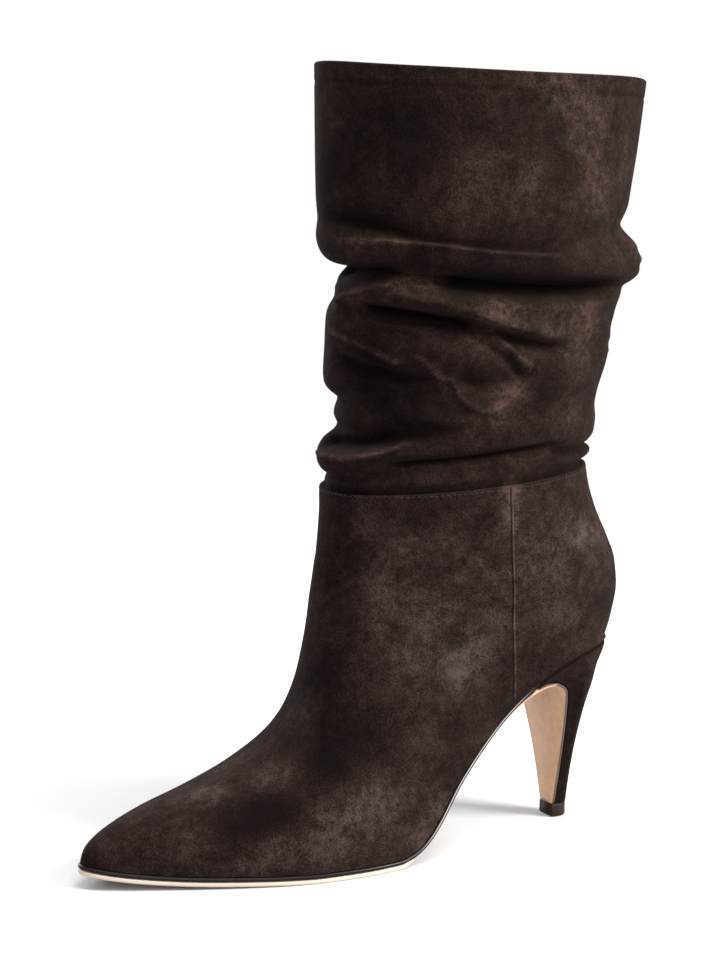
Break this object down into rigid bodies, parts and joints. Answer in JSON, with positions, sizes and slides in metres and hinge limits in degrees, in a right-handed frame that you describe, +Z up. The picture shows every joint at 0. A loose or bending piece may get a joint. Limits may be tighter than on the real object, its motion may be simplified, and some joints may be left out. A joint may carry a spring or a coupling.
{
  "type": "slouch boot",
  "caption": "Left slouch boot in dark suede: pointed toe, slim covered heel, leather sole and a loose shaft gathered in folds.",
  "frame": {"origin": "centre of the ground face of the heel tip", "axes": "+X from heel to toe, +Y to the outer side of the left foot, +Z up"},
  "size_m": [0.2458, 0.0932, 0.3132],
  "materials": {
    "suede": "matt brushed nap",
    "lining": "smooth matt",
    "dark_edge": "polished edge",
    "sole_leather": "smooth satin",
    "heel_cover": "matt brushed nap",
    "heel_rubber": "matt"
  },
  "bodies": {
    "root": {"upper": "suede", "shaft": "suede", "insole": "lining", "midsole": "dark_edge", "outsole": "sole_leather", "heel": "heel_cover", "top_piece": "heel_rubber"}
  },
  "joints": []
}
